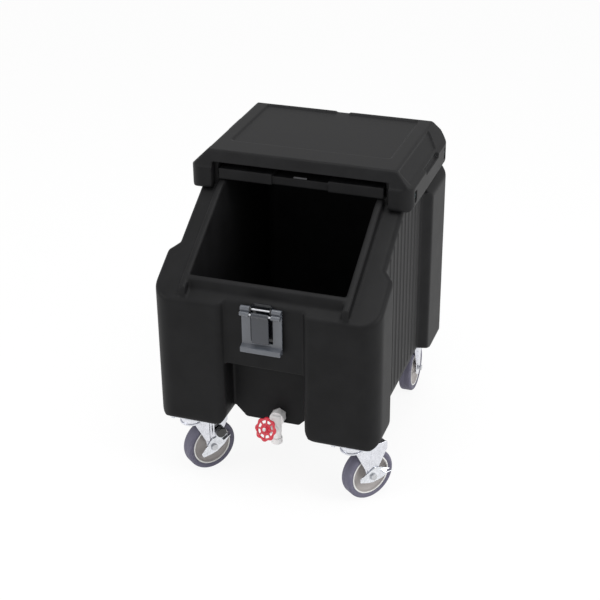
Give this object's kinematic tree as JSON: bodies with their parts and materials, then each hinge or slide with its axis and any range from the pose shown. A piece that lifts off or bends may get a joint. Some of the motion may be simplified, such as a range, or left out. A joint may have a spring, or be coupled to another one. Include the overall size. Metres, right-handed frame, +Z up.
{
  "type": "mobile ice bin",
  "caption": "Wheeled insulated ice bin with a sloping mouth, a lid that slides back under a fixed hood, a draw latch, a drain valve with handwheel and braked swivel castors in front.",
  "frame": {"origin": "middle of the bounding box at floor level; the front castors' outward brake pedals put it 7.0 mm left of and 8.8 mm in front of the moulded bin's own middle", "axes": "+Z up, -Y towards the front with the mouth, latch and drain, +X to the right of someone facing the front"},
  "size_m": [0.552, 0.6626, 0.743],
  "materials": {
    "body_plastic": "satin moulded black polyethylene",
    "hood_plastic": "satin moulded black polyethylene",
    "lid_plastic": "satin moulded black polyethylene",
    "foam": "pale rigid foam, hidden inside the walls",
    "keeper_metal": "bright steel bar",
    "hood_bolt": "dark green-black coated bolt heads",
    "latch_base": "glossy black moulding",
    "latch_arms": "glossy blue-grey moulding",
    "latch_strap": "glossy dark grey moulding",
    "latch_pin": "bright steel pins and screws",
    "valve_plastic": "white moulded plastic",
    "seal_rubber": "black rubber",
    "valve_metal": "turned brass",
    "handwheel_red": "glossy red enamel",
    "bright_screw": "bright pan head screw",
    "shelf_plastic": "black moulded plastic",
    "zinc": "bright zinc plated pressings",
    "castor_steel": "zinc plated axles, nuts and pins",
    "brake_chrome": "bright plated levers",
    "core_plastic": "light warm grey moulded wheel core",
    "bush_plastic": "white plastic bush",
    "tyre": "blue-grey tread",
    "knob_plastic": "glossy black knob"
  },
  "bodies": {
    "bin": {"bin_body": "body_plastic", "bin_rear": "body_plastic", "bin_base": "body_plastic", "drain_sump": "body_plastic", "hand_hold": "body_plastic", "body_foam": "foam", "hood": "hood_plastic", "hood_foam": "foam", "hood_bolts": "hood_bolt", "latch_base": "latch_base", "latch_lever_pin": "latch_pin", "latch_screws": "latch_pin", "drain_pipe": "valve_plastic", "drain_washer": "seal_rubber", "drain_nut": "valve_plastic", "valve_body": "valve_plastic", "valve_bonnet": "valve_plastic", "drain_shelf": "shelf_plastic", "castor_bolts": "zinc", "front_left_top_plate": "zinc", "front_left_ball_race": "zinc", "front_left_kingpin": "castor_steel", "front_right_top_plate": "zinc", "front_right_ball_race": "zinc", "front_right_kingpin": "castor_steel", "rear_left_bracket": "zinc", "rear_left_axle": "castor_steel", "rear_right_bracket": "zinc", "rear_right_axle": "castor_steel"},
    "lid": {"lid": "lid_plastic", "lid_foam": "foam", "lid_keeper": "keeper_metal"},
    "latch_lever": {"latch_lever": "latch_arms", "latch_strap_pin": "latch_pin"},
    "latch_strap": {"latch_strap": "latch_strap"},
    "handwheel": {"handwheel": "handwheel_red", "handwheel_screw": "bright_screw", "valve_stem": "valve_metal"},
    "valve_disc": {"valve_disc": "valve_metal"},
    "front_left_swivel": {"front_left_fork": "zinc", "front_left_axle": "castor_steel"},
    "front_left_wheel": {"front_left_tyre": "tyre", "front_left_wheel_core": "core_plastic", "front_left_bush": "bush_plastic"},
    "front_left_brake": {"front_left_brake_lever": "brake_chrome", "front_left_brake_knob": "knob_plastic"},
    "front_right_swivel": {"front_right_fork": "zinc", "front_right_axle": "castor_steel"},
    "front_right_wheel": {"front_right_tyre": "tyre", "front_right_wheel_core": "core_plastic", "front_right_bush": "bush_plastic"},
    "front_right_brake": {"front_right_brake_lever": "brake_chrome"},
    "rear_left_wheel": {"rear_left_tyre": "tyre", "rear_left_wheel_core": "core_plastic", "rear_left_bush": "bush_plastic"},
    "rear_right_wheel": {"rear_right_tyre": "tyre", "rear_right_wheel_core": "core_plastic", "rear_right_bush": "bush_plastic"}
  },
  "joints": [
    {"name": "lid_slide", "type": "hinge", "parent": "bin", "child": "lid", "pos_m": [-0.00696, 0.09416, 0.1693], "axis": [1, 0, 0], "range_deg": [0, 31]},
    {"name": "latch_lever_turn", "type": "hinge", "parent": "bin", "child": "latch_lever", "pos_m": [-0.00696, -0.31174, 0.49098], "axis": [1, 0, 0], "range_deg": [-110, 0]},
    {"name": "latch_strap_turn", "type": "hinge", "parent": "latch_lever", "child": "latch_strap", "pos_m": [-0.00696, -0.31925, 0.48048], "axis": [-1, 0, 0], "range_deg": [0, 185]},
    {"name": "handwheel_turn", "type": "hinge", "parent": "bin", "child": "handwheel", "pos_m": [0.01104, -0.27525, 0.167], "axis": [-0.2537, -0.8848, 0.3907], "range_deg": [0, 1080]},
    {"name": "valve_disc_travel", "type": "slide", "parent": "bin", "child": "valve_disc", "axis": [-0.2537, -0.8848, 0.3907], "range_m": [0, 0.006]},
    {"name": "front_left_swivel_turn", "type": "hinge", "parent": "bin", "child": "front_left_swivel", "pos_m": [-0.20596, -0.27125, 0.165], "axis": [0, 0, 1], "continuous": true},
    {"name": "front_left_wheel_spin", "type": "hinge", "parent": "front_left_swivel", "child": "front_left_wheel", "pos_m": [-0.17825, -0.23578, 0.0635], "axis": [-0.788, 0.6157, 0], "continuous": true},
    {"name": "front_left_brake_turn", "type": "hinge", "parent": "front_left_swivel", "child": "front_left_brake", "pos_m": [-0.17825, -0.23578, 0.0635], "axis": [-0.788, 0.6157, 0], "range_deg": [0, 25]},
    {"name": "front_right_swivel_turn", "type": "hinge", "parent": "bin", "child": "front_right_swivel", "pos_m": [0.19204, -0.27125, 0.165], "axis": [0, 0, 1], "continuous": true},
    {"name": "front_right_wheel_spin", "type": "hinge", "parent": "front_right_swivel", "child": "front_right_wheel", "pos_m": [0.21974, -0.23578, 0.0635], "axis": [-0.788, 0.6157, 0], "continuous": true},
    {"name": "front_right_brake_turn", "type": "hinge", "parent": "front_right_swivel", "child": "front_right_brake", "pos_m": [0.21974, -0.23578, 0.0635], "axis": [-0.788, 0.6157, 0], "range_deg": [-25, 0]},
    {"name": "rear_left_wheel_spin", "type": "hinge", "parent": "bin", "child": "rear_left_wheel", "pos_m": [-0.20496, 0.26776, 0.0635], "axis": [1, 0, 0], "continuous": true},
    {"name": "rear_right_wheel_spin", "type": "hinge", "parent": "bin", "child": "rear_right_wheel", "pos_m": [0.19104, 0.26776, 0.0635], "axis": [1, 0, 0], "continuous": true}
  ],
  "couplings": [
    {"joint": "valve_disc_travel", "follows": "handwheel_turn", "m_per_rad": 0.000318}
  ]
}
